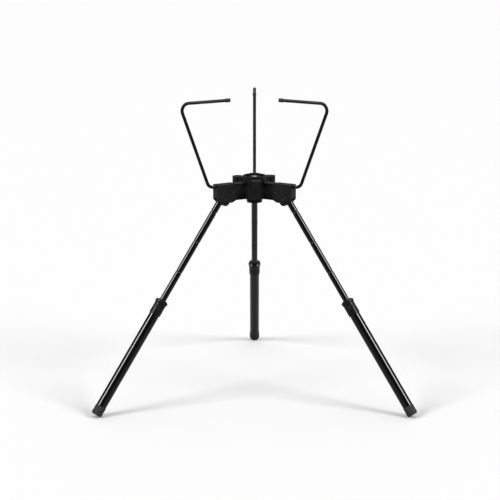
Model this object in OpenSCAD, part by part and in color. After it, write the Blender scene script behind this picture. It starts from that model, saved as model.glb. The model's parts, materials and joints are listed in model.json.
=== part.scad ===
// Folding tripod stand with three swivelling wire cradle arms.
// Origin: mouth of the accessory thread on the hub axis. +Z is up, the back leg points to +Y.
// Every wing, leg and arm is drawn in its own upright plane: x runs outwards from the hub
// axis, z runs up, and wing_frame() turns that plane to the wing's place round the hub.

/* [Hub] */
// Radius of the hub barrel
hub_r = 24; // [20:0.5:27]
// Depth of the hub's top face below the origin
hub_top_drop = 14; // [14:0.5:18]
// Height of the hub barrel
hub_h = 26.5; // [24:0.5:30]
// Radius of the boss under the barrel
boss_r = 14.5; // [13:0.5:20]
// Height of the boss under the barrel
boss_h = 8.2; // [7.5:0.1:12]
// Length of the necks between the barrel and the wings
neck_len = 21.2; // [18:0.1:28]
// Step from the wings' sides in to the necks' sides
neck_inset = 1; // [0.5:0.1:2]
// Depth of the pockets in the neck sides
pocket_depth = 3; // [1:0.5:3.5]

/* [Lock knob] */
// Radius of the knob's round centre
knob_r = 21.4; // [19:0.2:24]
// Radius of each lobe's round end
lobe_r = 10.2; // [8:0.1:12]
// Clearance of the turning lobes from the wings
lobe_gap = 0.5; // [0.3:0.1:4]
// Thickness of the lobes
lobe_h = 10.9; // [8:0.1:12]
// Depth of the lobe ends below the knob's underside
lobe_drop = 4.9; // [1:0.1:8]
// Height of the knob's rim above the origin
rim_rise = 1.5; // [1:0.1:3]
// Width of the rim round the knob's dish
rim_w = 3; // [2:0.2:5]
// Depth of the dish below the rim
dish_depth = 6; // [3:0.5:8]
// Turn of the knob from the symmetrical place
knob_turn = 4; // [0:1:60]

/* [Centre stud] */
// Radius of the threaded centre stud
stud_r = 6; // [5:0.5:7]
// Wall of the knob's metal insert
insert_wall = 2.5; // [1.5:0.1:4]
// Radius of the accessory thread's hole
accessory_r = 2.55; // [2:0.05:3.2]
// Depth of the accessory thread's hole
accessory_depth = 12; // [8:1:20]

/* [Wings] */
// Length of the wings
wing_len = 37.6; // [36:0.2:50]
// Height of the wings
wing_h = 34.8; // [33.5:0.1:38]
// Side wall and end wall of the wings
wing_wall = 1.5; // [1.2:0.1:2.4]
// Step of the wing top above the hub's top face
wing_step = 5; // [4:0.1:6]

/* [Legs] */
// Angle of the open legs from the vertical
leg_tilt = 35; // [28:1:38]
// Length of an open leg from its hinge to its foot
leg_len = 457.5; // [400:0.5:560]
// Radius of the upper tube
upper_r = 6; // [5:0.1:7]
// Wall of the bearing sleeve between the two tubes
sleeve_wall = 2.3; // [1.5:0.1:3]
// Wall of both tubes
tube_wall = 1.2; // [0.8:0.1:1.4]
// Wall of the collar's sleeve
collar_wall = 1.3; // [1:0.1:3]
// Step from the collar's sleeve out to its lip
lip_step = 1.2; // [0.4:0.1:2.5]
// Length of the collar
collar_len = 30.5; // [24:0.5:40]
// Number of length steps between the shortest and the longest leg
length_steps = 3; // [1:1:3]
// Depth of the click grooves
groove_depth = 0.7; // [0.4:0.1:0.9]
// Wall of the rubber foot
foot_wall = 0.6; // [0.5:0.1:3]
// Length of the rubber foot
foot_len = 18; // [12:1:30]

/* [Cradle arms] */
// Diameter of the arm wire
wire_d = 6; // [4:0.1:6.6]
// Length of the arm's peg inside the wing
peg_len = 14; // [10:0.5:15]
// Length of the level run from the wing's end to the riser
root_run = 13.4; // [12:0.1:30]
// Distance that the riser leans outwards
riser_lean = 59.2; // [40:0.1:80]
// Distance of the arm tips from the hub axis
tip_r = 51.5; // [45:0.5:70]
// Height of the top run above the origin
cradle_h = 144.6; // [110:0.2:180]
// Bend radius at both ends of the riser
riser_bend = 13; // [9:0.5:13]
// Length of the rubber tip
arm_tip_len = 9; // [6:0.5:14]

/* [Fits] */
// Radial clearance of the running fits
run_gap = 0.06; // [0.02:0.01:0.1]
// Gap between faces that pass each other
pass_gap = 0.3; // [0.2:0.05:0.4]

/* [Hidden] */
$fn = 64;
WING_ANGLE = [-150, -30, 90];

BLACK = [0.03, 0.03, 0.032];
DARK = [0.09, 0.09, 0.095];
STEEL = [0.62, 0.63, 0.65];
BRASS = [0.72, 0.58, 0.3];

far = 200;
cut = 1;

hub_top_z = -hub_top_drop;
hub_bottom_z = hub_top_z - hub_h;
boss_bottom_z = hub_bottom_z - boss_h;
socket_wall = 1.2;
socket_r = upper_r + socket_wall;
head_w = 2 * socket_r;
channel_w = head_w + 2 * pass_gap;
wing_w = channel_w + 2 * wing_wall;
neck_w = wing_w - 2 * neck_inset;
wing_in_r = hub_r + neck_len;
wing_out_r = wing_in_r + wing_len;
wing_top_z = hub_top_z + wing_step;
wing_bottom_z = wing_top_z - wing_h;
neck_step = 0.4;
ceiling_z = hub_top_z - neck_step;

shoulder_in_r = knob_r + 1;
shoulder_z = wing_top_z - neck_step;
rib_top_z = hub_top_z - 3;
rib_bottom_z = hub_bottom_z + 11.5;
tongue_w = channel_w - 0.1;
tongue_end_r = wing_in_r + 9;
tongue_floor_z = ceiling_z - 21.6;
wing_pin_r = 2;
wing_pin_at = [wing_in_r + 4.5, (ceiling_z + tongue_floor_z) / 2];

pivot_at = [wing_in_r + 19.8, wing_bottom_z + 6.3];
pivot_r = 2;
knuckle_r = pivot_r + 6;
heel_drop = 4;
leg_offset = 5;
socket_top = -2;
socket_bottom = 12;
head_pin_r = 1;
head_pin_s = 5;

lower_bore_r = upper_r + sleeve_wall;
lower_r = lower_bore_r + tube_wall;
collar_r = lower_r + collar_wall;
lip_r = collar_r + lip_step;
foot_r = lower_r + foot_wall;
foot_floor = 3;
lower_bottom_s = leg_len - foot_floor;
first_groove_s = 31;
collar_to_groove = 4.5;
upper_past_collar = 3.5;
bush_len = 4;
end_gap = 9;
past_groove = collar_len - collar_to_groove + upper_past_collar + bush_len + end_gap;
travel = (lower_bottom_s - first_groove_s - past_groove) / 2;
groove_pitch = travel / length_steps;
rest_groove_s = first_groove_s + travel;
collar_top_s = rest_groove_s - collar_to_groove;
collar_bottom_s = collar_top_s + collar_len;
upper_bottom_s = collar_bottom_s + upper_past_collar;
lower_top_s = rest_groove_s + 4;
groove_ball_r = 2.1;

wire_r = wire_d / 2;
peg_bore_r = wire_r + run_gap;
root_z = wing_top_z - 1 - peg_bore_r;
peg_in_r = wing_out_r - peg_len;
riser_foot_r = wing_out_r + root_run;
riser_top_r = riser_foot_r + riser_lean;
arm_block_in_r = peg_in_r - 1.5;
arm_block_floor_z = root_z - peg_bore_r - 4;
end_wall_bottom_z = arm_block_floor_z - 14.2;
screw_r = 1.5;
screw_tip_r = 1.1;
peg_groove_r = wing_out_r - 8;
peg_groove_w = 3.4;
peg_groove_depth = 0.7;
bend_swell = 0.02;
bend_lap = 0.3;
arm_tip_r = wire_r + 0.6;

insert_r = stud_r + insert_wall;
washer_t = 1;
washer_r = hub_r - 4;
washer_seat = 0.8;
knob_bottom_z = hub_top_z + 0.4;
lobe_at_r = wing_in_r - lobe_gap - lobe_r;
insert_flange_h = 1.5;
stud_head_h = 5.3;
cap_t = 2;

// Turns the upright drawing plane to wing number i.
module wing_frame(i) {
  rotate([0, 0, WING_ANGLE[i]]) children();
}

// Places a leg piece: local z = 0 is level with the hinge, and -z runs down the leg.
module leg_frame(i) {
  wing_frame(i)
    translate([pivot_at[0], 0, pivot_at[1]])
      rotate([0, -leg_tilt, 0])
        translate([leg_offset, 0, 0])
          children();
}

// A round bar across the wing, centred on its width, through point at = [x, z].
module cross_bar(at, r, length) {
  translate([at[0], 0, at[1]])
    rotate([90, 0, 0])
      cylinder(r = r, h = length, center = true);
}

// A plate of the outline pts = [[x, z], ...], centred on the wing's width.
module side_plate(pts, width) {
  rotate([90, 0, 0])
    linear_extrude(width, center = true)
      polygon(pts);
}

// A tube piece along the leg, from distance s0 to s1 down the leg.
module leg_sleeve(s0, s1, r, bore) {
  translate([0, 0, -s1])
    difference() {
      cylinder(r = r, h = s1 - s0);
      translate([0, 0, -cut])
        cylinder(r = bore, h = s1 - s0 + 2 * cut);
    }
}

// ---- Hub ----

// One neck with its raised shoulder and its tongue, and the pockets on both sides.
module neck() {
  difference() {
    union() {
      translate([hub_r - 4, -neck_w / 2, hub_bottom_z + neck_step])
        cube([wing_in_r - hub_r + 4, neck_w, hub_h - 2 * neck_step]);
      translate([shoulder_in_r, -neck_w / 2, hub_top_z - 2])
        cube([wing_in_r - shoulder_in_r, neck_w, shoulder_z - hub_top_z + 2]);
    }
    for (side = [-1, 1]) {
      neck_pocket(side, rib_top_z, shoulder_z - 1.5);
      neck_pocket(side, hub_bottom_z + 1.5, rib_bottom_z);
    }
  }
  translate([wing_in_r - cut, -tongue_w / 2, tongue_floor_z])
    cube([tongue_end_r - wing_in_r + cut, tongue_w, ceiling_z - tongue_floor_z]);
}

// One pocket in a neck's side, from floor z0 to top z1: side is -1 or 1.
module neck_pocket(side, z0, z1) {
  pocket_in = hub_r + 0.8;
  translate([pocket_in, side * neck_w / 2 - pocket_depth, z0])
    cube([wing_in_r - 1.5 - pocket_in, 2 * pocket_depth, z1 - z0]);
}

module hub_body() {
  color(BLACK)
    difference() {
      union() {
        translate([0, 0, hub_bottom_z])
          cylinder(r = hub_r, h = hub_h);
        translate([0, 0, boss_bottom_z])
          cylinder(r = boss_r, h = boss_h + cut);
        for (i = [0 : 2])
          wing_frame(i) neck();
      }
      translate([0, 0, boss_bottom_z - cut])
        cylinder(r = boss_r - 3, h = stud_head_h + cap_t + 0.5 + cut);
      translate([0, 0, boss_bottom_z])
        cylinder(r = stud_r, h = far);
      translate([0, 0, hub_top_z - washer_seat])
        cylinder(r = washer_r + pass_gap, h = far);
      for (i = [0 : 2])
        wing_frame(i) cross_bar(wing_pin_at, wing_pin_r, far);
    }
}

module hub_bottom_cap() {
  color(DARK)
    translate([0, 0, boss_bottom_z + 0.4])
      cylinder(r = boss_r - 3, h = cap_t);
}

// Hexagon head in the boss, plain shank through the hub, accessory thread in its top.
module centre_stud() {
  head_z = boss_bottom_z + cap_t + 0.5;
  color(STEEL)
    difference() {
      union() {
        translate([0, 0, head_z])
          cylinder(r = boss_r - 4.5, h = stud_head_h, $fn = 6);
        translate([0, 0, head_z])
          cylinder(r = stud_r, h = -head_z);
      }
      translate([0, 0, -accessory_depth])
        cylinder(r = accessory_r, h = accessory_depth + cut);
    }
}

module spring_washer() {
  color(STEEL)
    translate([0, 0, hub_top_z - washer_seat])
      difference() {
        cylinder(r = washer_r, h = washer_t);
        translate([0, 0, -cut])
          cylinder(r = stud_r + 0.4, h = washer_t + 2 * cut);
      }
}

// Three-lobed hand knob with a round dished centre.
module lock_knob() {
  rim_z = rim_rise;
  color(BLACK)
    rotate([0, 0, knob_turn])
      difference() {
        union() {
          translate([0, 0, knob_bottom_z])
            cylinder(r = knob_r, h = rim_z - knob_bottom_z);
          for (i = [0 : 2])
            rotate([0, 0, WING_ANGLE[i] + 60])
              knob_lobe();
        }
        translate([0, 0, rim_z - dish_depth])
          difference() {
            cylinder(r = knob_r - rim_w, h = dish_depth + cut);
            translate([0, 0, -cut])
              cylinder(r = insert_r + 1.5, h = dish_depth - 1.5 + cut);
          }
        translate([0, 0, knob_bottom_z - cut])
          cylinder(r = insert_r, h = far);
      }
}

module knob_lobe() {
  translate([0, -lobe_r * 0.8, knob_bottom_z])
    cube([lobe_at_r, lobe_r * 1.6, lobe_h]);
  translate([lobe_at_r, 0, knob_bottom_z - lobe_drop])
    cylinder(r = lobe_r, h = lobe_h + lobe_drop);
}

module knob_insert() {
  color(BRASS)
    translate([0, 0, knob_bottom_z])
      difference() {
        cylinder(r = insert_r, h = -knob_bottom_z - insert_flange_h);
        translate([0, 0, -cut])
          cylinder(r = stud_r + run_gap, h = far);
      }
}

// ---- Wings ----

// Side view of a wing: square top corners, chamfered bottom corners, gently rising floor.
function wing_outline() = [
  [wing_in_r, wing_top_z],
  [wing_out_r, wing_top_z],
  [wing_out_r, wing_bottom_z + 7.2],
  [wing_out_r - 4, wing_bottom_z + 2.8],
  [wing_in_r + 13, wing_bottom_z],
  [wing_in_r + 7, wing_bottom_z],
  [wing_in_r, wing_bottom_z + 3.3]];

// Inside of a wing: the channel for tongue and leg head, with the arm block left solid.
function channel_outline() = [
  [wing_in_r - cut, ceiling_z],
  [arm_block_in_r, ceiling_z],
  [arm_block_in_r, arm_block_floor_z],
  [wing_out_r - wing_wall, arm_block_floor_z],
  [wing_out_r - wing_wall, end_wall_bottom_z],
  [wing_out_r + cut, end_wall_bottom_z],
  [wing_out_r + cut, wing_bottom_z - cut],
  [wing_in_r - cut, wing_bottom_z - cut]];

module wing(i) {
  color(BLACK)
    wing_frame(i)
      difference() {
        side_plate(wing_outline(), wing_w);
        side_plate(channel_outline(), channel_w);
        cross_bar(wing_pin_at, wing_pin_r, far);
        cross_bar(pivot_at, pivot_r, far);
        translate([peg_in_r - pass_gap, 0, root_z])
          rotate([0, 90, 0])
            cylinder(r = peg_bore_r, h = far);
        translate([peg_groove_r, 0, arm_block_floor_z - cut])
          cylinder(r = screw_r, h = root_z - arm_block_floor_z + cut);
      }
}

// One press pin through each wing and its tongue.
module wing_pins() {
  color(DARK)
    for (i = [0 : 2])
      wing_frame(i) cross_bar(wing_pin_at, wing_pin_r, wing_w);
}

// One hinge pin for each leg head.
module pivot_pins() {
  color(STEEL)
    for (i = [0 : 2])
      wing_frame(i) cross_bar(pivot_at, pivot_r, wing_w);
}

// Set screws from under the arm blocks: their tips sit in the pegs' grooves and keep the arms in.
module arm_set_screws() {
  tip_z = root_z - wire_r + peg_groove_depth - 0.2;
  body_z = root_z - peg_bore_r - 0.2;
  foot_z = arm_block_floor_z + 0.3;
  color(DARK)
    for (i = [0 : 2])
      wing_frame(i)
        translate([peg_groove_r, 0, 0])
          union() {
            translate([0, 0, body_z - cut])
              cylinder(r = screw_tip_r, h = tip_z - body_z + cut);
            translate([0, 0, foot_z])
              cylinder(r = screw_r, h = body_z - foot_z);
          }
}

// ---- Legs ----

// Hinge knuckle with a heel, a stop nose that meets the tongue, and the tube socket.
module leg_head(i) {
  nose_in_r = tongue_end_r + pass_gap;
  color(DARK)
    difference() {
      union() {
        wing_frame(i) {
          cross_bar(pivot_at, knuckle_r, head_w);
          cross_bar(pivot_at - [0, heel_drop], knuckle_r, head_w);
          translate([pivot_at[0] - knuckle_r, -head_w / 2, pivot_at[1] - heel_drop])
            cube([2 * knuckle_r, head_w, heel_drop]);
          translate([nose_in_r, -head_w / 2, pivot_at[1] + 3])
            cube([pivot_at[0] - nose_in_r, head_w, 8]);
        }
        leg_frame(i)
          translate([0, 0, -socket_bottom])
            cylinder(r = socket_r, h = socket_bottom - socket_top);
      }
      leg_frame(i)
        translate([0, 0, -far])
          cylinder(r = upper_r, h = far - socket_top - 1);
      wing_frame(i) cross_bar(pivot_at, pivot_r + run_gap, far);
      leg_frame(i)
        translate([0, 0, -head_pin_s])
          rotate([90, 0, 0])
            cylinder(r = head_pin_r, h = far, center = true);
    }
}

// Roll pin that holds the upper tube in the head.
module head_pin(i) {
  color(STEEL)
    leg_frame(i)
      translate([0, 0, -head_pin_s])
        rotate([90, 0, 0])
          cylinder(r = head_pin_r, h = head_w - 0.2, center = true);
}

// Upper tube with its click grooves, scalloped clear of the hinge pin.
module upper_tube(i) {
  color(BLACK)
    difference() {
      leg_frame(i)
        difference() {
          leg_sleeve(socket_top + 1, upper_bottom_s, upper_r, upper_r - tube_wall);
          for (n = [0 : length_steps])
            translate([0, 0, -(first_groove_s + n * groove_pitch)])
              click_groove();
          translate([0, 0, -head_pin_s])
            rotate([90, 0, 0])
              cylinder(r = head_pin_r, h = far, center = true);
        }
      wing_frame(i) cross_bar(pivot_at, pivot_r + 0.5, far);
    }
}

module click_groove() {
  rotate_extrude()
    translate([upper_r - groove_depth + groove_ball_r, 0])
      circle(r = groove_ball_r);
}

// Bush on the upper tube's lower end, which guides it in the lower tube.
module guide_bush(i) {
  color(DARK)
    leg_frame(i)
      leg_sleeve(upper_bottom_s, upper_bottom_s + bush_len, lower_bore_r - run_gap, upper_r - tube_wall);
}

// Collar: a tapered mouth, a finger lip and a plain sleeve over the lower tube.
module collar(i) {
  neck_r = upper_r + run_gap;
  color(BLACK)
    leg_frame(i)
      rotate_extrude()
        polygon([
          [neck_r, -collar_top_s],
          [neck_r + 1.6, -collar_top_s],
          [lip_r - 0.8, -collar_top_s - 2.2],
          [lip_r, -collar_top_s - 3],
          [lip_r, -collar_top_s - 6.5],
          [collar_r, -collar_top_s - 8.5],
          [collar_r, -collar_bottom_s + 0.8],
          [collar_r - 0.8, -collar_bottom_s],
          [lower_r, -collar_bottom_s],
          [lower_r, -lower_top_s + 1],
          [lower_bore_r, -lower_top_s + 1],
          [lower_bore_r, -collar_top_s - 1.8],
          [neck_r, -collar_top_s - 1.8]]);
}

// Bearing sleeve between the two tubes, with a seat for the click ring.
module collar_bush(i) {
  color(DARK)
    leg_frame(i)
      difference() {
        leg_sleeve(collar_top_s + 1.8, upper_bottom_s - 2, lower_bore_r, upper_r + run_gap);
        translate([0, 0, -rest_groove_s])
          rotate_extrude()
            translate([upper_r + run_gap + 0.6, 0])
              circle(r = 0.7);
      }
}

// Open spring ring that clicks into the grooves.
module click_ring(i) {
  color(STEEL)
    leg_frame(i)
      translate([0, 0, -rest_groove_s])
        rotate([0, 0, 20])
          rotate_extrude(angle = 320)
            translate([upper_r + run_gap + 0.62, 0])
              circle(r = 0.6);
}

// Lower tube.
module lower_tube(i) {
  color(BLACK)
    leg_frame(i)
      leg_sleeve(lower_top_s - 1, lower_bottom_s, lower_r, lower_bore_r);
}

// Rubber foot, round at its end.
module foot_cap(i) {
  round_r = 3;
  color(DARK)
    leg_frame(i)
      rotate_extrude()
        difference() {
          union() {
            translate([0, -leg_len + round_r])
              square([foot_r, foot_len - round_r]);
            translate([0, -leg_len])
              square([foot_r - round_r, round_r]);
            intersection() {
              translate([foot_r - round_r, -leg_len + round_r])
                circle(r = round_r);
              translate([0, -leg_len])
                square([foot_r, round_r]);
            }
          }
          translate([0, -lower_bottom_s])
            square([lower_r, foot_len]);
        }
}

// ---- Cradle arms ----

// Corner points of the arm wire, from the inner end of its peg to its bare end.
function arm_path() = [
  [peg_in_r, root_z],
  [riser_foot_r, root_z],
  [riser_top_r, cradle_h],
  [tip_r + 1.5, cradle_h]];
function arm_bends() = [0, riser_bend, riser_bend, 0];

function unit(v) = v / norm(v);
function heading(v) = atan2(v[1], v[0]);
// Angle by which a path turns at corner b, on the way from a to c, left turns positive.
function turn_at(a, b, c) =
  let (raw = heading(c - b) - heading(b - a))
  raw > 180 ? raw - 360 : (raw < -180 ? raw + 360 : raw);
// Length that the bend at corner k takes from the straights on both sides of it.
function bend_cut(p, r, k) =
  (k == 0 || k == len(p) - 1) ? 0 : r[k] * tan(abs(turn_at(p[k - 1], p[k], p[k + 1])) / 2);

// Round wire along the corner points p, with bend radii r, in the xy plane. The bends are a
// hair thicker than the straights, which run a little way into them.
module bent_wire(p, r, wire) {
  for (k = [0 : len(p) - 2]) {
    along = unit(p[k + 1] - p[k]);
    a = p[k] + along * (bend_cut(p, r, k) - (k > 0 ? bend_lap : 0));
    b = p[k + 1] - along * (bend_cut(p, r, k + 1) - (k < len(p) - 2 ? bend_lap : 0));
    translate([a[0], a[1], 0])
      rotate([0, 0, heading(b - a)])
        rotate([0, 90, 0])
          cylinder(r = wire, h = norm(b - a));
  }
  for (k = [1 : len(p) - 2]) {
    turn = turn_at(p[k - 1], p[k], p[k + 1]);
    side = sign(turn);
    along = unit(p[k] - p[k - 1]);
    start = p[k] - along * bend_cut(p, r, k);
    centre = start + side * r[k] * [-along[1], along[0]];
    translate([centre[0], centre[1], 0])
      rotate([0, 0, heading(start - centre) + (turn < 0 ? turn : 0)])
        rotate_extrude(angle = abs(turn))
          translate([r[k], 0])
            circle(r = wire + bend_swell);
  }
}

module arm_wire(i) {
  color(BLACK)
    wing_frame(i)
      difference() {
        rotate([90, 0, 0])
          bent_wire(arm_path(), arm_bends(), wire_r);
        translate([peg_groove_r - peg_groove_w / 2, 0, root_z])
          rotate([0, 90, 0])
            difference() {
              cylinder(r = wire_r + cut, h = peg_groove_w);
              translate([0, 0, -cut])
                cylinder(r = wire_r - peg_groove_depth, h = peg_groove_w + 2 * cut);
            }
      }
}

// Rubber cap on the arm's free end.
module arm_tip(i) {
  color(DARK)
    wing_frame(i)
      translate([tip_r, 0, cradle_h])
        rotate([0, 90, 0])
          difference() {
            cylinder(r = arm_tip_r, h = arm_tip_len);
            translate([0, 0, 1.5])
              cylinder(r = wire_r, h = arm_tip_len);
          }
}

hub_body();
hub_bottom_cap();
centre_stud();
spring_washer();
lock_knob();
knob_insert();
wing(0);  // wing_left
wing(1);  // wing_right
wing(2);  // wing_back
wing_pins();
pivot_pins();
arm_set_screws();
leg_head(0);  // leg_head_left
leg_head(1);  // leg_head_right
leg_head(2);  // leg_head_back
head_pin(0);  // head_pin_left
head_pin(1);  // head_pin_right
head_pin(2);  // head_pin_back
upper_tube(0);  // upper_tube_left
upper_tube(1);  // upper_tube_right
upper_tube(2);  // upper_tube_back
guide_bush(0);  // guide_bush_left
guide_bush(1);  // guide_bush_right
guide_bush(2);  // guide_bush_back
collar(0);  // collar_left
collar(1);  // collar_right
collar(2);  // collar_back
collar_bush(0);  // collar_bush_left
collar_bush(1);  // collar_bush_right
collar_bush(2);  // collar_bush_back
click_ring(0);  // click_ring_left
click_ring(1);  // click_ring_right
click_ring(2);  // click_ring_back
lower_tube(0);  // lower_tube_left
lower_tube(1);  // lower_tube_right
lower_tube(2);  // lower_tube_back
foot_cap(0);  // foot_cap_left
foot_cap(1);  // foot_cap_right
foot_cap(2);  // foot_cap_back
arm_wire(0);  // arm_wire_left
arm_wire(1);  // arm_wire_right
arm_wire(2);  // arm_wire_back
arm_tip(0);  // arm_tip_left
arm_tip(1);  // arm_tip_right
arm_tip(2);  // arm_tip_back
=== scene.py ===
"""Looks of the folding tripod stand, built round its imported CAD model. Lengths are in metres."""

import json
import math

import bmesh
import bpy
from mathutils import Matrix, Vector


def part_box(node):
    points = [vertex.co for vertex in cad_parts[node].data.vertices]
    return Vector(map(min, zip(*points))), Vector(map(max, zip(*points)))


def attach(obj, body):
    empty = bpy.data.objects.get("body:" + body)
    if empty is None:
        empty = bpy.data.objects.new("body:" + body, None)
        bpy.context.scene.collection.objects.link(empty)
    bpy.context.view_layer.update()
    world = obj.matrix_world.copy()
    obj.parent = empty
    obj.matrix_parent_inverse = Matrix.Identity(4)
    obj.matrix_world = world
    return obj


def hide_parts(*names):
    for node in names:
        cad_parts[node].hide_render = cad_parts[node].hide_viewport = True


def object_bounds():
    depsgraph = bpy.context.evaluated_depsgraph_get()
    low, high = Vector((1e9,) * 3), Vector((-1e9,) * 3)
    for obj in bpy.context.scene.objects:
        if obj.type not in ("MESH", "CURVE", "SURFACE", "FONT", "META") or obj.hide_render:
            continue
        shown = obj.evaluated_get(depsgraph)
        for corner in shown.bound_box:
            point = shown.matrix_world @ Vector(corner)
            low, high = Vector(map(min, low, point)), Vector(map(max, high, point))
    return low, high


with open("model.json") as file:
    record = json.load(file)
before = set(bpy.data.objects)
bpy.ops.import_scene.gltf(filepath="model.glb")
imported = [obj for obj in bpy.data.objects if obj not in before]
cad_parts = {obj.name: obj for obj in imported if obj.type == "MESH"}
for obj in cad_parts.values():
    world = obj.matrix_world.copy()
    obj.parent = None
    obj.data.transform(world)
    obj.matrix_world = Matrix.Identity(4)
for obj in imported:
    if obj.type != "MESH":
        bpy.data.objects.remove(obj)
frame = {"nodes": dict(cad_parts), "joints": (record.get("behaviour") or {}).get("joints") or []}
cad_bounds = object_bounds()

MM = 0.001
SIDES = ["left", "right", "back"]
NODES = frame["nodes"]
JOINTS = {joint["name"]: joint for joint in frame["joints"]}

ROUND_SEGMENTS = 96
WIRE_SEGMENTS = 32
ARC_STEPS = 5
SHARP_ANGLE = math.radians(30)
SMOOTH_ANGLE = math.radians(35)

# Sizes that the frame's boxes don't give
INSERT_WALL = 2.5 * MM
RUN_GAP = 0.06 * MM
STUD_HEAD_H = 5.3 * MM
STUD_R = 6 * MM
THREAD_R = 2.55 * MM
THREAD_PITCH = 1.27 * MM
THREAD_DEPTH = 12 * MM
TUBE_WALL = 1.2 * MM
CLICK_PITCH = 63.5 * MM
HINGE_CLEAR = 2.8 * MM
GROOVE_DEPTH = 0.7 * MM
CLICK_BALL_R = 2.1 * MM
WIRE_BEND = 13 * MM
PEG_LEN = 14 * MM
PEG_GROOVE_BACK = 8 * MM
ROOT_RUN = 13.4 * MM
RISER_RUN = 59.2 * MM


# ---- Places, read from the frame ----

def wing_matrix(side):
    """The upright drawing plane of a wing: local x runs outwards from the hub axis."""
    pivot = JOINTS["leg_fold_" + side]["pos_m"]
    return Matrix.Rotation(math.atan2(pivot[1], pivot[0]), 4, "Z")


def leg_matrix(side):
    """Local z runs up the leg's axis, with 0 level with the hinge; local y is the hinge axis."""
    up = Vector(JOINTS["leg_length_" + side]["axis"]).normalized()
    across = Vector(JOINTS["leg_fold_" + side]["axis"]).normalized()
    hinge = Vector(JOINTS["leg_fold_" + side]["pos_m"])
    low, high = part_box("lower_tube_" + side)
    centre = (low + high) / 2
    origin = centre + up * (hinge - centre).dot(up)
    matrix = Matrix((across.cross(up), across, up)).transposed().to_4x4()
    matrix.translation = origin
    return matrix


def corners_of(points):
    """Lowest and highest corner of a list of points."""
    low = Vector([min(point[axis] for point in points) for axis in range(3)])
    high = Vector([max(point[axis] for point in points) for axis in range(3)])
    return low, high


def extent(node, matrix):
    """Lowest and highest corner of a CAD node, measured along the axes of matrix."""
    inverse = matrix.inverted()
    return corners_of([inverse @ vertex.co for vertex in NODES[node].data.vertices])


def extent_of_island(node):
    """Corners of the part of a grouped node that lies in the back wing (y above 0, x near 0)."""
    return corners_of([vertex.co for vertex in NODES[node].data.vertices
                       if vertex.co.y > abs(vertex.co.x)])


WING = {side: wing_matrix(side) for side in SIDES}
LEG = {side: leg_matrix(side) for side in SIDES}


# ---- Mesh tools ----

def rounded(corners, closed=True, steps=ARC_STEPS):
    """Points along the outline [(x, y, fillet radius), ...], with every fillet as an arc."""
    points = []
    count = len(corners)
    for k, (x, y, radius) in enumerate(corners):
        here = Vector((x, y))
        if radius <= 0 or (not closed and k in (0, count - 1)):
            points.append(here)
            continue
        to_last = (Vector(corners[k - 1][:2]) - here).normalized()
        to_next = (Vector(corners[(k + 1) % count][:2]) - here).normalized()
        half = to_last.angle(to_next) / 2
        centre = here + (to_last + to_next).normalized() * (radius / math.sin(half))
        start = here + to_last * (radius / math.tan(half)) - centre
        turn = math.pi - 2 * half
        if to_last.x * to_next.y - to_last.y * to_next.x > 0:
            turn = -turn
        for step in range(steps + 1):
            points.append(centre + Matrix.Rotation(turn * step / steps, 2) @ start)
    return points


def mesh_of(name, points, faces):
    mesh = bpy.data.meshes.new(name)
    mesh.from_pydata([tuple(point) for point in points], [], faces)
    bm = bmesh.new()
    bm.from_mesh(mesh)
    bmesh.ops.remove_doubles(bm, verts=bm.verts, dist=1e-7)
    bmesh.ops.recalc_face_normals(bm, faces=bm.faces)
    bm.to_mesh(mesh)
    bm.free()
    return mesh


def revolve(name, profile, closed=False, segments=ROUND_SEGMENTS):
    """A turned piece. profile is (radius, z) points: a closed ring, or from axis to axis."""
    points = []
    for radius, z in profile:
        for k in range(segments):
            angle = 2 * math.pi * k / segments
            points.append((radius * math.cos(angle), radius * math.sin(angle), z))
    faces = []
    rows = len(profile) if closed else len(profile) - 1
    for row in range(rows):
        a = row * segments
        b = (row + 1) % len(profile) * segments
        for k in range(segments):
            n = (k + 1) % segments
            faces.append((a + k, a + n, b + n, b + k))
    return mesh_of(name, points, faces)


def sweep(name, path, radii, segments=WIRE_SEGMENTS):
    """A round bar along path, a list of points in the xz plane, closed at both ends."""
    points = []
    for k, here in enumerate(path):
        ahead = path[min(k + 1, len(path) - 1)]
        behind = path[max(k - 1, 0)]
        along = (ahead - behind).normalized()
        normal = Vector((-along.y, along.x))
        for step in range(segments):
            angle = 2 * math.pi * step / segments
            side = normal * (radii[k] * math.cos(angle))
            points.append((here.x + side.x, radii[k] * math.sin(angle), here.y + side.y))
    faces = [tuple(range(segments))]
    for row in range(len(path) - 1):
        for k in range(segments):
            n = (k + 1) % segments
            a = row * segments
            faces.append((a + k, a + n, a + segments + n, a + segments + k))
    last = (len(path) - 1) * segments
    faces.append(tuple(range(last + segments - 1, last - 1, -1)))
    return mesh_of(name, points, faces)


def softened(name, node, width):
    """A copy of a CAD node's mesh whose sharp edges are rounded."""
    mesh = bpy.data.meshes.new(name)
    bm = bmesh.new()
    bm.from_mesh(NODES[node].data)
    bmesh.ops.remove_doubles(bm, verts=bm.verts, dist=1e-6)
    bmesh.ops.dissolve_limit(bm, angle_limit=math.radians(0.5), verts=bm.verts, edges=bm.edges)
    edges = [edge for edge in bm.edges
             if len(edge.link_faces) == 2 and edge.calc_face_angle() > SHARP_ANGLE]
    bmesh.ops.bevel(bm, geom=edges, offset=width, offset_type="OFFSET", segments=3,
                    profile=0.5, affect="EDGES", clamp_overlap=True)
    bm.to_mesh(mesh)
    bm.free()
    return mesh


def joined(name, meshes):
    """One mesh of several [(mesh, matrix), ...] that stay separate shells."""
    bm = bmesh.new()
    for mesh, matrix in meshes:
        copy = mesh.copy()
        copy.transform(matrix)
        bm.from_mesh(copy)
        bpy.data.meshes.remove(copy)
    result = bpy.data.meshes.new(name)
    bm.to_mesh(result)
    bm.free()
    return result


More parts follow.
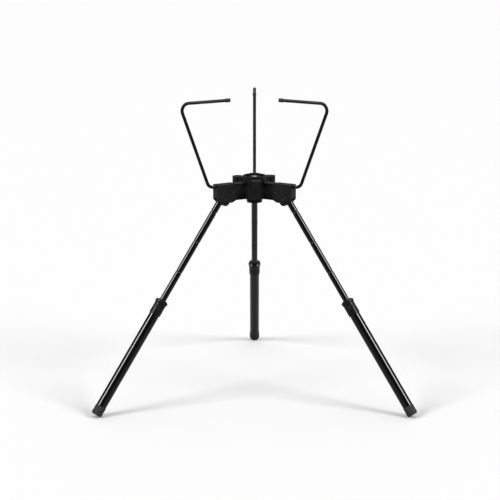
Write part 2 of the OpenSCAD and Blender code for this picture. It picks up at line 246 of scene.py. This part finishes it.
def piece(name, mesh, body, slot, *nodes, matrix=None):
    """Puts a finished mesh in the scene in place of CAD nodes, in its slot's material."""
    mesh.shade_smooth()
    mesh.set_sharp_from_angle(angle=SMOOTH_ANGLE)
    mesh.materials.clear()
    mesh.materials.append(MATERIALS[slot])
    thing = bpy.data.objects.new(name, mesh)
    bpy.context.scene.collection.objects.link(thing)
    if matrix is not None:
        thing.matrix_world = matrix
    weighting = thing.modifiers.new("even_shading", "WEIGHTED_NORMAL")
    weighting.keep_sharp = True
    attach(thing, body)
    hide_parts(*nodes)


# ---- Materials ----

def add_node(tree, kind, **settings):
    made = tree.nodes.new(kind)
    for key, value in settings.items():
        setattr(made, key, value)
    return made


def noise(tree, scale, stretch=(1, 1, 1), detail=4.0):
    """Noise in the piece's own coordinates; scale is its frequency for one metre."""
    coordinates = add_node(tree, "ShaderNodeTexCoord")
    mapping = add_node(tree, "ShaderNodeMapping")
    mapping.inputs["Scale"].default_value = stretch
    texture = add_node(tree, "ShaderNodeTexNoise")
    texture.inputs["Scale"].default_value = scale
    texture.inputs["Detail"].default_value = detail
    tree.links.new(coordinates.outputs["Object"], mapping.inputs["Vector"])
    tree.links.new(mapping.outputs["Vector"], texture.inputs["Vector"])
    return texture.outputs["Fac"]


def ramp(tree, source, low, high, dark, light):
    """Maps source from low..high to the two colours."""
    made = add_node(tree, "ShaderNodeValToRGB")
    made.color_ramp.elements[0].position = low
    made.color_ramp.elements[0].color = (*dark, 1)
    made.color_ramp.elements[1].position = high
    made.color_ramp.elements[1].color = (*light, 1)
    tree.links.new(source, made.inputs["Fac"])
    return made.outputs["Color"]


def span(tree, source, low, high):
    """Maps source from 0.3..0.7 to low..high."""
    made = add_node(tree, "ShaderNodeMapRange")
    made.inputs["From Min"].default_value = 0.3
    made.inputs["From Max"].default_value = 0.7
    made.inputs["To Min"].default_value = low
    made.inputs["To Max"].default_value = high
    tree.links.new(source, made.inputs["Value"])
    return made.outputs["Result"]


def bump(tree, source, height, normal=None):
    made = add_node(tree, "ShaderNodeBump")
    made.inputs["Distance"].default_value = height
    made.inputs["Strength"].default_value = 1.0
    tree.links.new(source, made.inputs["Height"])
    if normal is not None:
        tree.links.new(normal, made.inputs["Normal"])
    return made.outputs["Normal"]


def shader(name, metallic=0.0, specular=0.5):
    material = bpy.data.materials.new(name)
    material.use_nodes = True
    body = material.node_tree.nodes["Principled BSDF"]
    body.inputs["Metallic"].default_value = metallic
    body.inputs["Specular IOR Level"].default_value = specular
    return material, material.node_tree, body.inputs


def moulded_plastic(name, dark, light, roughness):
    """Black plastic with a fine eroded grain and faintly uneven gloss."""
    material, tree, inputs = shader(name, specular=0.1)
    tree.links.new(ramp(tree, noise(tree, 45), 0.35, 0.7, dark, light), inputs["Base Color"])
    tree.links.new(span(tree, noise(tree, 160), *roughness), inputs["Roughness"])
    fine = bump(tree, noise(tree, 2600, detail=2.0), 0.012 * MM)
    tree.links.new(bump(tree, noise(tree, 300), 0.01 * MM, fine), inputs["Normal"])
    return material


def drawn_tube(name):
    """Gloss black anodised tube with faint drawing lines along its length."""
    material, tree, inputs = shader(name, specular=0.16)
    lines = noise(tree, 900, stretch=(1, 1, 0.01), detail=3.0)
    tree.links.new(ramp(tree, lines, 0.3, 0.7, (0.0006, 0.0006, 0.0006),
                        (0.0014, 0.0014, 0.0015)), inputs["Base Color"])
    tree.links.new(span(tree, noise(tree, 90, stretch=(1, 1, 0.15)), 0.05, 0.1),
                   inputs["Roughness"])
    tree.links.new(bump(tree, lines, 0.002 * MM), inputs["Normal"])
    return material


def coated_wire(name):
    """Black powder coat with a slight orange peel."""
    material, tree, inputs = shader(name, specular=0.08)
    tree.links.new(ramp(tree, noise(tree, 60), 0.35, 0.7, (0.001, 0.001, 0.001),
                        (0.003, 0.003, 0.0029)), inputs["Base Color"])
    tree.links.new(span(tree, noise(tree, 220), 0.28, 0.42), inputs["Roughness"])
    tree.links.new(bump(tree, noise(tree, 900, detail=2.0), 0.02 * MM), inputs["Normal"])
    return material


def soft_rubber(name):
    """Dark grey rubber with a dusty bloom."""
    material, tree, inputs = shader(name, specular=0.1)
    tree.links.new(ramp(tree, noise(tree, 120), 0.3, 0.75, (0.008, 0.008, 0.008),
                        (0.018, 0.018, 0.0185)), inputs["Base Color"])
    tree.links.new(span(tree, noise(tree, 300), 0.62, 0.82), inputs["Roughness"])
    tree.links.new(bump(tree, noise(tree, 1800, detail=3.0), 0.03 * MM), inputs["Normal"])
    return material


def turned_metal(name, dark, light, roughness):
    """Bare or blackened metal with fine tool marks round its axis."""
    material, tree, inputs = shader(name, metallic=1.0)
    marks = noise(tree, 500, stretch=(0.2, 0.2, 12), detail=3.0)
    tree.links.new(ramp(tree, marks, 0.3, 0.7, dark, light), inputs["Base Color"])
    tree.links.new(span(tree, noise(tree, 200), *roughness), inputs["Roughness"])
    tree.links.new(bump(tree, marks, 0.004 * MM), inputs["Normal"])
    return material


MATERIALS = {
    "satin_black_plastic": moulded_plastic("satin_black_plastic", (0.0015, 0.0015, 0.0016),
                                           (0.0035, 0.0035, 0.0036), (0.42, 0.58)),
    "collar_plastic": moulded_plastic("collar_plastic", (0.0012, 0.0012, 0.0013),
                                      (0.0028, 0.0028, 0.0029), (0.3, 0.42)),
    "bush_plastic": moulded_plastic("bush_plastic", (0.08, 0.08, 0.08),
                                    (0.12, 0.12, 0.12), (0.35, 0.5)),
    "gloss_black_tube": drawn_tube("gloss_black_tube"),
    "black_wire": coated_wire("black_wire"),
    "zinc_steel": turned_metal("zinc_steel", (0.1, 0.1, 0.105), (0.2, 0.2, 0.21), (0.3, 0.45)),
    "black_screw": turned_metal("black_screw", (0.02, 0.02, 0.02), (0.045, 0.045, 0.047),
                                (0.3, 0.45)),
    "brass": turned_metal("brass", (0.55, 0.4, 0.16), (0.74, 0.56, 0.26), (0.18, 0.32)),
    "rubber": soft_rubber("rubber"),
}


# ---- Hub ----

def build_hub():
    piece("hub_casting", softened("hub_casting", "hub_body", 0.5 * MM), "hub",
          "satin_black_plastic", "hub_body")
    low, high = extent("hub_bottom_cap", Matrix())
    radius = high.x
    dome = 0.6 * MM
    edge_r = radius - 0.1 * MM
    profile = rounded([(0, low.z, 0), (radius - 2 * dome, low.z, 0), (edge_r, low.z + dome, dome),
                       (edge_r, high.z, 0.2 * MM), (0, high.z, 0)], closed=False)
    piece("boss_cover", revolve("boss_cover", profile), "hub", "satin_black_plastic",
          "hub_bottom_cap")


def build_stud():
    """Hexagon head and shank, with the turns of the accessory thread as ridges in the bore."""
    low, high = extent("centre_stud", Matrix())
    head_r = high.x
    shank_r = extent("knob_insert", Matrix())[1].x - INSERT_WALL - RUN_GAP
    chamfer = 0.8 * MM
    mouth = 0.7 * MM
    outline = [(0, low.z, 0), (shank_r, low.z, 0), (shank_r, high.z - chamfer, 0),
               (shank_r - chamfer, high.z, 0), (THREAD_R + mouth, high.z, 0),
               (THREAD_R, high.z - mouth, 0)]
    turns = int((THREAD_DEPTH - 2 * MM) / THREAD_PITCH)
    for k in range(turns):
        z = high.z - mouth - k * THREAD_PITCH
        outline += [(THREAD_R, z - 0.1 * THREAD_PITCH, 0),
                    (THREAD_R + 0.5 * MM, z - 0.5 * THREAD_PITCH, 0),
                    (THREAD_R, z - 0.9 * THREAD_PITCH, 0)]
    outline += [(THREAD_R, high.z - THREAD_DEPTH, 0), (0, high.z - THREAD_DEPTH - 1.2 * MM, 0)]
    shank = revolve("shank", rounded(outline, closed=False), segments=64)
    inner_r = shank_r + 0.05 * MM
    corner = 0.4 * MM
    head_top = low.z + STUD_HEAD_H
    head = revolve("head", rounded([(inner_r, low.z, 0), (head_r - corner, low.z, 0),
                                    (head_r, low.z + corner, 0), (head_r, head_top, 0),
                                    (inner_r, head_top, 0)]), closed=True, segments=6)
    piece("centre_bolt", joined("centre_bolt", [(shank, Matrix()), (head, Matrix())]), "hub",
          "zinc_steel", "centre_stud")


def build_washer():
    """Three-wave spring washer inside the height of its CAD ring."""
    low, high = extent("spring_washer", Matrix())
    outer = high.x
    inner = 6.4 * MM
    thick = 0.5 * MM
    waves = 3
    edge = 0.1 * MM
    section = rounded([(inner, low.z, edge), (outer, low.z, edge), (outer, low.z + thick, edge),
                       (inner, low.z + thick, edge)], steps=2)
    mesh = revolve("wave_washer", section, closed=True)
    lift = high.z - low.z - thick
    for vertex in mesh.vertices:
        angle = math.atan2(vertex.co.y, vertex.co.x)
        vertex.co.z += lift * (0.5 + 0.5 * math.cos(waves * angle))
    piece("wave_washer", mesh, "hub", "zinc_steel", "spring_washer")


# ---- Lock knob ----

def build_knob():
    """The knob's plastic body, and the metal nut in it that runs on the stud."""
    piece("hand_knob", softened("hand_knob", "lock_knob", 0.9 * MM), "knob",
          "satin_black_plastic", "lock_knob")

    low, high = extent("knob_insert", Matrix())
    outer = high.x - 0.02 * MM
    bore = STUD_R + RUN_GAP
    chamfer = 0.5 * MM
    outline = [(bore, low.z, 0.2 * MM), (outer, low.z, 0.2 * MM), (outer, high.z, 0.3 * MM),
               (bore + chamfer, high.z, 0), (bore, high.z - chamfer, 0)]
    piece("knob_nut", revolve("knob_nut", rounded(outline), closed=True), "knob", "brass",
          "knob_insert")


# ---- Wings ----

def pin_mesh(name, radius, length, dome):
    """A press pin along y with domed ends."""
    half = length / 2
    profile = rounded([(0, -half, 0), (radius, -half, dome), (radius, half, dome), (0, half, 0)],
                      closed=False)
    mesh = revolve(name, profile, segments=32)
    mesh.transform(Matrix.Rotation(math.radians(90), 4, "X"))
    return mesh


def build_pins(name, node, slot):
    """Three equal cross pins, one for each wing, placed from the box of the back one."""
    back = extent_of_island(node)
    radius = (back[1].z - back[0].z) / 2
    centre = (back[0] + back[1]) / 2
    mesh = pin_mesh(name, radius - 0.01 * MM, back[1].x - back[0].x - 0.1 * MM, 0.5 * MM)
    at = Matrix.Translation((centre.y, 0, centre.z))
    piece(name, joined(name, [(mesh, WING[side] @ at) for side in SIDES]), "hub", slot, node)


def build_wings():
    for side in SIDES:
        name = "wing_shell_" + side
        piece(name, softened(name, "wing_" + side, 0.6 * MM), "hub", "satin_black_plastic",
              "wing_" + side)
    build_pins("wing_press_pins", "wing_pins", "black_screw")
    build_pins("hinge_pins", "pivot_pins", "black_screw")

    low, high = extent_of_island("arm_set_screws")
    radius = (high.x - low.x) / 2 - 0.02 * MM
    socket = 0.85 * MM
    tip_r = 1.1 * MM
    shoulder = high.z - 0.76 * MM
    turned = revolve("screw", rounded([
        (0, high.z, 0), (tip_r, high.z, 0.15 * MM), (tip_r, shoulder, 0),
        (radius, shoulder, 0.2 * MM), (radius, low.z, 0.2 * MM), (socket, low.z, 0.1 * MM),
        (socket, low.z + 1.4 * MM, 0), (0, low.z + 1.7 * MM, 0)],
        closed=False), segments=24)
    at = Matrix.Translation(((high.y + low.y) / 2, 0, 0))
    piece("peg_screws", joined("peg_screws", [(turned, WING[side] @ at) for side in SIDES]),
          "hub", "black_screw", "arm_set_screws")


# ---- Legs ----

def build_leg_head(side):
    """The hinge head, and the slotted roll pin through it."""
    name = "hinge_head_" + side
    piece(name, softened(name, "leg_head_" + side, 0.5 * MM), "leg_" + side,
          "satin_black_plastic", "leg_head_" + side)

    low, high = extent("head_pin_" + side, LEG[side])
    radius = (high.z - low.z) / 2
    half = (high.y - low.y) / 2 - 0.1 * MM
    bore = radius * 0.55
    steps = 28
    gap = math.radians(30)
    ring = []
    for k in range(steps + 1):
        angle = gap / 2 + (2 * math.pi - gap) * k / steps
        ring.append(Vector((math.cos(angle), math.sin(angle))))
    section = [point * (radius - 0.02 * MM) for point in ring]
    section += [point * bore for point in reversed(ring)]
    middle = (low.z + high.z) / 2
    points = [(point.x, y, point.y + middle) for y in (-half, half) for point in section]
    count = len(section)
    faces = [tuple(range(count)), tuple(range(2 * count - 1, count - 1, -1))]
    faces += [(k, (k + 1) % count, count + (k + 1) % count, count + k) for k in range(count)]
    piece("roll_pin_" + side, mesh_of("roll_pin_" + side, points, faces), "leg_" + side,
          "zinc_steel", "head_pin_" + side, matrix=LEG[side])


def tube_profile(low, high, outer, grooves=()):
    """Section of a tube, with round-bottomed grooves round its outside."""
    half = math.acos((CLICK_BALL_R - GROOVE_DEPTH) / CLICK_BALL_R)
    bore = outer - TUBE_WALL
    edge = 0.3 * MM
    profile = [Vector((bore, low)), Vector((outer - edge, low)), Vector((outer, low + edge))]
    for z in grooves:
        centre = outer - GROOVE_DEPTH + CLICK_BALL_R
        width = CLICK_BALL_R * math.sin(half)
        profile.append(Vector((outer, z - width - 0.5 * MM)))
        profile.append(Vector((outer, z - width - 0.05 * MM)))
        for k in range(9):
            angle = half * (k / 4 - 1)
            profile.append(Vector((centre - CLICK_BALL_R * math.cos(angle),
                                   z + CLICK_BALL_R * math.sin(angle))))
        profile.append(Vector((outer, z + width + 0.05 * MM)))
        profile.append(Vector((outer, z + width + 0.5 * MM)))
    profile += [Vector((outer, high - edge)), Vector((outer - edge, high)), Vector((bore, high))]
    return profile


def scored(radius, z, depth, slope, floor, land, fillet):
    """Corners of one groove scored round a turned piece: it leaves radius at z and comes back."""
    return [(radius, z, fillet), (radius - depth, z + slope, fillet),
            (radius - depth, z + floor, fillet), (radius, z + land, fillet)]


def build_leg(side):
    """Both tubes, the collar with its finger lip and the rubber foot of one leg."""
    matrix = LEG[side]
    low, high = extent("upper_tube_" + side, matrix)
    upper_r = high.y
    travel = JOINTS["leg_length_" + side]["range_m"][1]
    ring_low, ring_high = extent("click_ring_" + side, matrix)
    rest_groove = (ring_low.z + ring_high.z) / 2
    steps = int(round(travel / CLICK_PITCH))
    grooves = [rest_groove + CLICK_PITCH * k for k in range(steps + 1)]
    name = "inner_tube_" + side
    profile = tube_profile(low.z, -HINGE_CLEAR, upper_r, grooves)
    piece(name, revolve(name, profile, closed=True), "leg_" + side, "gloss_black_tube",
          "upper_tube_" + side, matrix=matrix)

    low, high = extent("lower_tube_" + side, matrix)
    name = "outer_tube_" + side
    profile = tube_profile(low.z, high.z, high.y)
    piece(name, revolve(name, profile, closed=True), "foot_" + side, "gloss_black_tube",
          "lower_tube_" + side, matrix=matrix)
    seat_r = high.y + 0.01 * MM

    low, high = extent("collar_" + side, matrix)
    lip_r = high.y
    top = high.z
    mouth_r = upper_r + RUN_GAP
    sleeve_r = lip_r - 1.2 * MM
    name = "finger_collar_" + side
    outline = [
        (mouth_r, top, 0.3 * MM), (mouth_r + 1.6 * MM, top, 0.5 * MM),
        (lip_r - 0.8 * MM, top - 2.2 * MM, 0.8 * MM), (lip_r, top - 3 * MM, 0.5 * MM),
        (lip_r, top - 6.5 * MM, 0.8 * MM), (sleeve_r, top - 8.5 * MM, 1.5 * MM)]
    for z in (12, 14.5, 17):
        outline += scored(sleeve_r, top - z * MM, 0.35 * MM, -0.5 * MM, -0.9 * MM, -1.4 * MM,
                          0.2 * MM)
    outline += [(sleeve_r, low.z + 0.8 * MM, 0.4 * MM), (sleeve_r - 0.8 * MM, low.z, 0.2 * MM),
                (seat_r, low.z, 0), (seat_r, top - 4 * MM, 0), (mouth_r, top - 1.8 * MM, 0)]
    piece(name, revolve(name, rounded(outline, steps=3), closed=True), "foot_" + side,
          "collar_plastic", "collar_" + side, matrix=matrix)

    low, high = extent("foot_cap_" + side, matrix)
    radius = high.y
    floor = low.z + 3 * MM
    name = "rubber_foot_" + side
    outline = [(0, low.z, 0), (radius - 4.5 * MM, low.z, 0), (radius, low.z, 3 * MM)]
    for z in (7, 9, 11):
        outline += scored(radius, low.z + z * MM, 0.4 * MM, 0.4 * MM, 0.8 * MM, 1.2 * MM,
                          0.2 * MM)
    outline += [(radius, high.z, 0.4 * MM), (seat_r, high.z, 0), (seat_r, floor, 0),
                (0, floor, 0)]
    piece(name, revolve(name, rounded(outline, closed=False, steps=4)), "foot_" + side,
          "rubber", "foot_cap_" + side, matrix=matrix)


# ---- Cradle arms ----

def build_arm(side):
    """The bent wire, with the screw's groove in its peg, and the rubber tip."""
    matrix = WING[side]
    low, high = extent("arm_wire_" + side, matrix)
    wire = (high.y - low.y) / 2 - 0.02 * MM
    wing_end = extent("wing_" + side, matrix)[1].x
    peg_in = wing_end - PEG_LEN
    root_z = JOINTS["arm_swivel_" + side]["pos_m"][2]
    top_z = high.z - wire
    foot_r = wing_end + ROOT_RUN
    knee_r = foot_r + RISER_RUN
    path = rounded([(peg_in, root_z, 0), (foot_r, root_z, WIRE_BEND), (knee_r, top_z, WIRE_BEND),
                    (low.x, top_z, 0)], closed=False, steps=16)
    groove_at = wing_end - PEG_GROOVE_BACK
    groove_half = 1.7 * MM
    groove_r = wire - GROOVE_DEPTH
    slope = 0.2 * MM
    edge = 0.5 * MM
    start = [(peg_in, wire - edge), (peg_in + edge, wire),
             (groove_at - groove_half, wire), (groove_at - groove_half + slope, groove_r),
             (groove_at + groove_half - slope, groove_r), (groove_at + groove_half, wire)]
    points = [Vector((x, root_z)) for x, _ in start] + path[1:-1]
    radii = [radius for _, radius in start] + [wire] * (len(path) - 2)
    points += [Vector((low.x + edge, top_z)), Vector((low.x, top_z))]
    radii += [wire, wire - edge]
    name = "cradle_wire_" + side
    piece(name, sweep(name, points, radii), "arm_" + side, "black_wire", "arm_wire_" + side,
          matrix=matrix)

    low, high = extent("arm_tip_" + side, matrix)
    radius = (high.z - low.z) / 2
    length = high.x - low.x
    seat_r = wire + 0.005 * MM
    floor = 1.5 * MM
    outline = [(0, 0, 0), (radius, 0, 1.2 * MM), (radius, length, 0.25 * MM),
               (seat_r, length, 0), (seat_r, floor, 0), (0, floor, 0)]
    name = "rubber_tip_" + side
    mesh = revolve(name, rounded(outline, closed=False), segments=48)
    mesh.transform(Matrix.Translation((low.x, 0, top_z))
                   @ Matrix.Rotation(math.radians(90), 4, "Y"))
    piece(name, mesh, "arm_" + side, "rubber", "arm_tip_" + side, matrix=matrix)


def finish_cad_nodes():
    """Inner pieces keep their CAD shape, with their slot's material."""
    for side in SIDES:
        for node, slot in (("guide_bush_", "bush_plastic"), ("collar_bush_", "bush_plastic"),
                           ("click_ring_", "zinc_steel")):
            mesh = NODES[node + side].data
            mesh.materials.clear()
            mesh.materials.append(MATERIALS[slot])


# ---- Studio ----

def sun_light(name, place, energy, angle):
    """A round, far soft source that shines from place towards the origin."""
    data = bpy.data.lights.new(name, "SUN")
    data.energy = energy
    data.angle = math.radians(angle)
    light = bpy.data.objects.new(name, data)
    bpy.context.scene.collection.objects.link(light)
    light.rotation_euler = (-Vector(place)).to_track_quat("-Z", "Y").to_euler()


def build_studio():
    """A matt floor at the feet, an even world, a broad top light and two side lights."""
    ground = cad_bounds[0][2]
    floor_mesh = bpy.data.meshes.new("studio_floor")
    reach = 40
    floor_mesh.from_pydata([(-reach, -reach, ground), (reach, -reach, ground),
                            (reach, reach, ground), (-reach, reach, ground)], [], [(0, 1, 2, 3)])
    floor = bpy.data.objects.new("studio_floor", floor_mesh)
    bpy.context.scene.collection.objects.link(floor)
    paper, _, inputs = shader("studio_paper", specular=0.1)
    inputs["Base Color"].default_value = (0.27, 0.27, 0.27, 1)
    inputs["Roughness"].default_value = 0.9
    floor_mesh.materials.append(paper)

    world = bpy.data.worlds.new("studio_world")
    world.use_nodes = True
    background = world.node_tree.nodes["Background"]
    background.inputs["Color"].default_value = (1, 1, 1, 1)
    background.inputs["Strength"].default_value = 0.15
    bpy.context.scene.world = world

    sun_light("ceiling", (0, 0.2, 1), 4.4, 90)
    sun_light("left_softbox", (-1, -0.58, 0.87), 5.5, 22)
    sun_light("right_softbox", (1, -0.58, 0.87), 5.5, 22)


def build_camera():
    """A long lens in front of the stand, tilted down by its pitch."""
    pitch = 13.17
    data = bpy.data.cameras.new("camera")
    data.sensor_width = 36
    data.lens = 109.9
    data.shift_x = -0.009
    data.clip_end = 200
    camera = bpy.data.objects.new("camera", data)
    bpy.context.scene.collection.objects.link(camera)
    camera.location = (0, -2.792, 0.512)
    camera.rotation_euler = (math.radians(90 - pitch), 0, 0)
    bpy.context.scene.camera = camera


build_hub()
build_stud()
build_washer()
build_knob()
build_wings()
for side in SIDES:
    build_leg_head(side)
    build_leg(side)
    build_arm(side)
finish_cad_nodes()
build_studio()
build_camera()
bpy.context.scene.view_settings.view_transform = "Standard"
